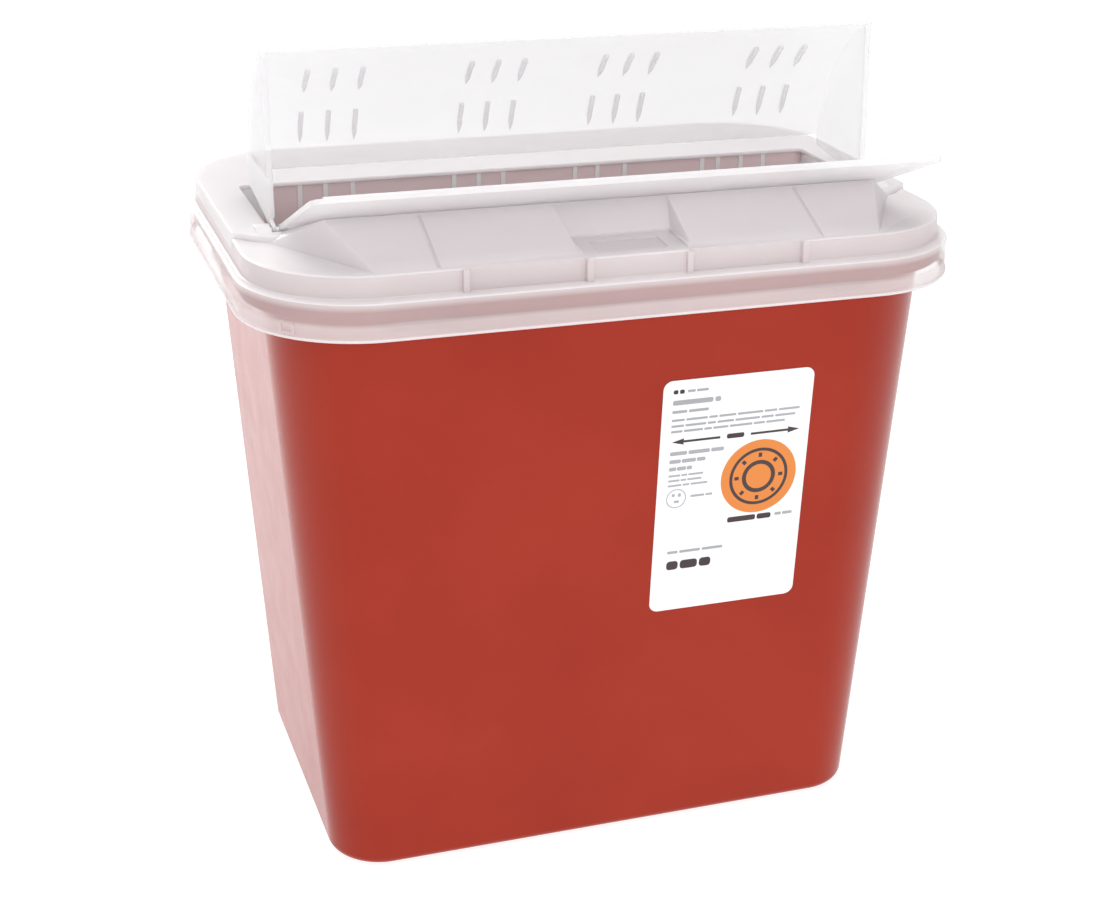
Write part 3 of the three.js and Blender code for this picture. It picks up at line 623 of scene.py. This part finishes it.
def build_hood():
    outside = hood_arc(HOOD_ARC_RADIUS, HOOD_LOW_DEG, HOOD_TOP_DEG, 56)
    inside = hood_arc(HOOD_ARC_RADIUS - HOOD_SHEET, HOOD_TOP_DEG, HOOD_LOW_DEG, 56)
    body = prism(outside + inside, -HOOD_HALF_X, HOOD_HALF_X, 0)
    rear = hood_arc(HOOD_ARC_RADIUS, HOOD_TOP_DEG, HOOD_LOW_DEG, 50)
    low = math.radians(HOOD_END_LOW_DEG)
    heel = (PIVOT_Y + HOOD_HEEL_REACH * math.cos(low), PIVOT_Z + HOOD_HEEL_REACH * math.sin(low))
    eye = arc(PIVOT_Y, PIVOT_Z, EYE_RADIUS, HOOD_END_LOW_DEG, -240, 36)
    outline = rear + [heel] + eye + HOOD_FLANGE[:1]
    for side in (-1, 1):
        join(body, prism(outline, *span(side, HOOD_HALF_X - HOOD_END_WALL, HOOD_HALF_X), 0))
        join(body, prism(HOOD_FLANGE, *span(side, HOOD_HALF_X - HOOD_END_WALL - 0.7, HOOD_HALF_X), 0))
        cut(body, pivot_rod(BORE_RADIUS, side * HOOD_HALF_X - 4, side * HOOD_HALF_X + 4))
    finish_mesh(body, "hood_body", "door", "frosted_plastic", "door_hood")
    body.data.materials.append(FROSTED)
    body.data.materials.append(FROSTED_END)
    end_x = -(HOOD_HALF_X - HOOD_END_WALL - 0.8) * MM
    for face in body.data.polygons:
        if max(body.data.vertices[v].co.x for v in face.vertices) < end_x:
            face.material_index = 1


def build_hood_ribs():
    body = None
    for side in (-1, 1):
        for x in HOOD_RIB_X:
            for low, high in HOOD_RIB_ROWS:
                rib = hood_rib(side * x, low, high)
                body = join(body, rib) if body else rib
    return finish_mesh(body, "hood_ribs", "door", "frosted_plastic")


def leaf_matrix():
    tilt = math.radians(LEAF_TILT_DEG)
    across = Vector((-1, 0, 0))
    along = Vector((0, -math.cos(tilt), math.sin(tilt)))
    turn = Matrix((across, along, across.cross(along))).transposed().to_4x4()
    lift = LEAF_RISE * math.cos(tilt)
    origin = Vector((0, PIVOT_Y + lift * math.sin(tilt), PIVOT_Z + lift * math.cos(tilt)))
    return Matrix.Translation(origin * MM) @ turn


def build_leaf():
    outline = [(-LEAF_HALF_X, LEAF_START), (LEAF_HALF_X, LEAF_START)]
    for side, first in ((1, 0), (-1, 90)):
        centre = side * (LEAF_HALF_X - LEAF_CORNER)
        outline += arc(centre, LEAF_LENGTH - LEAF_CORNER, LEAF_CORNER, first, first + 90, 12)
    body = prism(outline, -LEAF_THICK + 0.1, 0.1, 2)
    bead_half = LEAF_HALF_X - LEAF_CORNER
    join(body, block((-bead_half, LEAF_LENGTH - 1.6, -0.1), (bead_half, LEAF_LENGTH - 0.2, 0.7)))
    for side in (-1, 1):
        low, high = span(side, LEAF_HALF_X - LEAF_HUB, LEAF_HALF_X)
        join(body, block((low, 0, -LEAF_THICK + 0.1), (high, LEAF_START + 2, 0.1)))
    body.data.transform(leaf_matrix())
    for side in (-1, 1):
        low, high = span(side, LEAF_HALF_X - LEAF_HUB, LEAF_HALF_X)
        join(body, pivot_rod(EYE_RADIUS, low, high))
        cut(body, pivot_rod(BORE_RADIUS, low - 1, high + 1))
    return finish_mesh(body, "leaf_body", "door", "frosted_plastic", "door_leaf")


def build_pin(side, name):
    """Turned pin: a domed head inside, a plain shank and a chamfered outer end."""
    head = LEAF_HALF_X - LEAF_HUB - 1.1
    profile = [(head, 0), (head, 1.0), (head + 0.3, 1.35), (head + 0.5, PIN_HEAD_RADIUS),
               (head + 0.8, PIN_HEAD_RADIUS), (head + 0.8, PIN_RADIUS), (PIN_END_X - 0.3, PIN_RADIUS),
               (PIN_END_X, PIN_RADIUS - 0.3), (PIN_END_X, 0)]
    bm = bmesh.new()
    chain = [bm.verts.new(Vector((side * x, PIVOT_Y + r, PIVOT_Z)) * MM) for x, r in profile]
    edges = [bm.edges.new(pair) for pair in zip(chain, chain[1:])]
    centre = Vector((0, PIVOT_Y, PIVOT_Z)) * MM
    bmesh.ops.spin(bm, geom=chain + edges, cent=centre, axis=(1, 0, 0), angle=2 * math.pi, steps=40)
    bmesh.ops.remove_doubles(bm, verts=bm.verts, dist=1e-7)
    bmesh.ops.recalc_face_normals(bm, faces=bm.faces)
    mesh = bpy.data.meshes.new(name)
    bm.to_mesh(mesh)
    bm.free()
    pin = bpy.data.objects.new(name, mesh)
    bpy.context.collection.objects.link(pin)
    return finish_mesh(pin, name, "door", "frosted_plastic", f"{name.split('_')[0]}_pivot_pin")


# ---------------------------------------------------------------- label
LABEL_LEFT, LABEL_RIGHT, LABEL_BOTTOM, LABEL_TOP = 10.7, 69.2, 96.2, 190.2
LABEL_THICK, LABEL_GAP, INK_THICK = 0.22, 0.06, 0.03


def label_matrix(lift):
    """From label coordinates (x, height along the face) to the tub's drafted front face."""
    tilt = math.atan(DRAFT)
    up = Vector((0, -math.sin(tilt), math.cos(tilt)))
    right = Vector((1, 0, 0))
    turn = Matrix((right, up, right.cross(up))).transposed().to_4x4()
    outward = right.cross(up)
    origin = Vector((0, -(BASE_HALF_Y + DRAFT * LABEL_BOTTOM), LABEL_BOTTOM)) + outward * lift
    return Matrix.Translation(origin * MM) @ turn


def printed(name, outlines, material, lift=LABEL_GAP + LABEL_THICK):
    """One thin raised piece of ink made of several closed outlines; an outline may carry a hole."""
    bm = bmesh.new()
    for outer, hole in outlines:
        count = len(outer)
        rings = [[bm.verts.new(Vector((x, y, z)) * MM) for x, y in outer] for z in (0.0, INK_THICK)]
        if hole is None:
            bm.faces.new(rings[1])
            bm.faces.new(list(reversed(rings[0])))
        else:
            inner = [[bm.verts.new(Vector((x, y, z)) * MM) for x, y in hole] for z in (0.0, INK_THICK)]
            for level, flip in ((1, False), (0, True)):
                for i in range(count):
                    j = (i + 1) % count
                    quad = [rings[level][i], rings[level][j], inner[level][j], inner[level][i]]
                    bm.faces.new(list(reversed(quad)) if flip else quad)
            for i in range(count):
                j = (i + 1) % count
                bm.faces.new([inner[0][j], inner[0][i], inner[1][i], inner[1][j]])
        for i in range(count):
            j = (i + 1) % count
            bm.faces.new([rings[0][i], rings[0][j], rings[1][j], rings[1][i]])
    bmesh.ops.recalc_face_normals(bm, faces=bm.faces)
    mesh = bpy.data.meshes.new(name)
    bm.to_mesh(mesh)
    bm.free()
    mesh.transform(label_matrix(lift))
    obj = bpy.data.objects.new(name, mesh)
    bpy.context.collection.objects.link(obj)
    obj.data.materials.append(material)
    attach(obj, "container")
    return obj


def bar(x, y, width, height):
    """A rounded bar with its lower left corner at (x, y)."""
    ring = rounded_ring(width / 2, height / 2, min(width, height) * 0.35, 0, 0, 4)
    return ([(x + width / 2 + px, y + height / 2 + py) for px, py, _ in ring], None)


def circle(x, y, radius, hole=None, steps=64):
    outer = arc(x, y, radius, 0, 360, steps)[:-1]
    return (outer, arc(x, y, hole, 0, 360, steps)[:-1] if hole else None)


def greeked(x, y, width, height, words):
    """A row of word-length blocks that stands for a line of print."""
    row, at, total = [], x, sum(words) + 0.35 * (len(words) - 1)
    for word in words:
        size = width * word / total
        row.append(bar(at, y, size, height))
        at += size + width * 0.35 / total
    return row


def build_label():
    half_x = (LABEL_RIGHT - LABEL_LEFT) / 2
    half_y = (LABEL_TOP - LABEL_BOTTOM) / 2 * math.sqrt(1 + DRAFT ** 2)
    ring = rounded_ring(half_x, half_y, 3.5, 0, 0, 10)
    outline = [(x + LABEL_LEFT + half_x, y + half_y) for x, y, _ in ring]
    sheet = prism(outline, 0, LABEL_THICK, 2)
    sheet.data.transform(label_matrix(LABEL_GAP))
    finish_mesh(sheet, "label_sheet", "container", "label_film", "front_label")
    sheet.data.materials.append(FILM)

    dark, pale = [], []
    for tip, tail, row in ((15.2, 34.0, 70.0), (65.3, 46.0, 70.0)):
        neck = tip + 4.6 * (1 if tip < tail else -1)
        dark.append(([(tip, row), (neck, row - 1.25), (neck, row - 0.45), (tail, row - 0.45),
                      (tail, row + 0.45), (neck, row + 0.45), (neck, row + 1.25)], None))
    dark.append(bar(36.6, 69.1, 6.8, 1.9))
    dark += greeked(39.5, 34.2, 17.5, 2.2, [6, 3])
    pale += greeked(58.6, 34.9, 7.0, 1.2, [2, 3])
    dark += greeked(16.4, 17.2, 17.6, 3.6, [2, 3, 2])
    pale += greeked(16.4, 24.0, 22.0, 1.1, [2, 4, 4])
    dark += greeked(14.6, 89.0, 4.2, 1.6, [1, 1])
    pale += greeked(20.0, 89.3, 8.0, 1.0, [2, 3])
    pale += greeked(14.6, 84.6, 18.5, 1.9, [7, 1])
    pale += greeked(14.6, 81.4, 14.0, 1.1, [3, 4])
    for row, width in ((78.2, 50.0), (75.9, 48.5), (73.7, 44.5)):
        pale += greeked(14.6, row, width, 0.9, [3, 5, 2, 4, 6, 3, 5])
    for row, width, height in ((64.6, 21.0, 1.5), (61.4, 14.0, 1.5), (58.4, 9.0, 1.5)):
        pale += greeked(14.8, row, width, height, [4, 5, 3])
    for row, width in ((56.0, 13.5), (54.0, 13.0), (52.0, 15.5)):
        pale += greeked(14.8, row, width, 0.8, [4, 2, 5])
    pale.append(circle(18.4, 47.0, 3.9, 3.5))
    pale += [bar(16.6, 47.8, 1.2, 1.2), bar(19.0, 47.6, 1.2, 1.4), bar(17.6, 45.2, 2.0, 1.0)]
    pale += greeked(24.0, 46.9, 8.6, 0.9, [4, 2])
    printed("label_dark_ink", dark, INK)
    printed("label_pale_ink", pale, PALE_INK)
    disc = (50.6, 52.2)
    printed("label_orange_disc", [circle(*disc, 15.0)], ORANGE_INK)
    rings = [circle(*disc, 11.6, 10.4), circle(*disc, 6.6, 5.0)]
    for k in range(8):
        angle = k * math.pi / 4
        spoke = [(7.9, -0.7), (9.6, -0.7), (9.6, 0.7), (7.9, 0.7)]
        rings.append(([(disc[0] + r * math.cos(angle) - t * math.sin(angle),
                        disc[1] + r * math.sin(angle) + t * math.cos(angle)) for r, t in spoke], None))
    printed("label_disc_rings", rings, INK, LABEL_GAP + LABEL_THICK + INK_THICK)


# ---------------------------------------------------------------- stage
def build_stage():
    half = 6000
    corners = [(-half, -half, 0), (half, -half, 0), (half, half, 0), (-half, half, 0)]
    floor = mesh_object("floor", corners, [(0, 1, 2, 3)])
    material, _, _, shader = new_material("studio_floor")
    shader.inputs["Base Color"].default_value = (0.30, 0.30, 0.30, 1)
    shader.inputs["Roughness"].default_value = 0.6
    shader.inputs["Emission Color"].default_value = (1, 1, 1, 1)
    shader.inputs["Emission Strength"].default_value = 0.84
    floor.data.materials.append(material)

    world = bpy.data.worlds.new("studio")
    world.use_nodes = True
    nodes, links = world.node_tree.nodes, world.node_tree.links
    direction = nodes.new("ShaderNodeTexCoord").outputs["Generated"]
    split = nodes.new("ShaderNodeSeparateXYZ")
    links.new(direction, split.inputs["Vector"])
    side = nodes.new("ShaderNodeMapRange")
    side.inputs["From Min"].default_value = -1.0
    side.inputs["From Max"].default_value = 1.0
    side.inputs["To Min"].default_value = 0.66
    side.inputs["To Max"].default_value = 0.34
    links.new(split.outputs["X"], side.inputs["Value"])
    links.new(side.outputs["Result"], nodes["Background"].inputs["Strength"])
    nodes["Background"].inputs["Color"].default_value = (1, 1, 1, 1)
    bpy.context.scene.world = world


def area_light(name, place, target, size, power):
    light = bpy.data.lights.new(name, "AREA")
    light.shape = "RECTANGLE"
    light.size, light.size_y = size
    light.energy = power
    obj = bpy.data.objects.new(name, light)
    obj.location = place
    obj.rotation_euler = (Vector(target) - Vector(place)).to_track_quat("-Z", "Y").to_euler()
    obj.visible_camera = False
    bpy.context.collection.objects.link(obj)


def build_camera():
    """Stands to the left of the front, above the lid, and looks down at it."""
    yaw, pitch, roll = math.radians(18.83), math.radians(22.19), math.radians(0.85)
    forward = Vector((math.sin(yaw) * math.cos(pitch), math.cos(yaw) * math.cos(pitch), -math.sin(pitch)))
    right = Vector((math.cos(yaw), -math.sin(yaw), 0))
    up = right.cross(forward)
    turned_right = math.cos(roll) * right + math.sin(roll) * up
    turned_up = -math.sin(roll) * right + math.cos(roll) * up
    data = bpy.data.cameras.new("camera")
    data.sensor_width = 36
    data.lens = 62.5
    data.clip_start = 0.01
    camera = bpy.data.objects.new("camera", data)
    camera.matrix_world = (Matrix.Translation(Vector((-231.0, -679.4, 425.0)) * MM)
                           @ Matrix((turned_right, turned_up, -forward)).transposed().to_4x4())
    bpy.context.collection.objects.link(camera)
    bpy.context.scene.camera = camera


build_camera()
build_tub().data.materials.append(RED)
build_lid()
build_hood()
build_hood_ribs().data.materials.append(RIB)
# the leaf's brightened copy of the frosted plastic is partly painted light
build_leaf().data.materials.append(LEAF_PARTLY_PAINTED_LIGHT)
for side, name in ((-1, "left_pin"), (1, "right_pin")):
    build_pin(side, name).data.materials.append(PIN)
build_label()
build_stage()
area_light("top_softbox", (0.0, -0.1, 1.5), (0, 0, 0.2), (1.3, 1.1), 13.0)
area_light("front_fill", (0.0, -1.8, 0.8), (0, 0, 0.15), (1.2, 0.8), 11.0)
area_light("rear_left_panel", (-0.35, 0.75, 0.45), (-0.28, 0.55, 0), (0.5, 0.4), 5.0)
bpy.context.scene.view_settings.view_transform = "Standard"
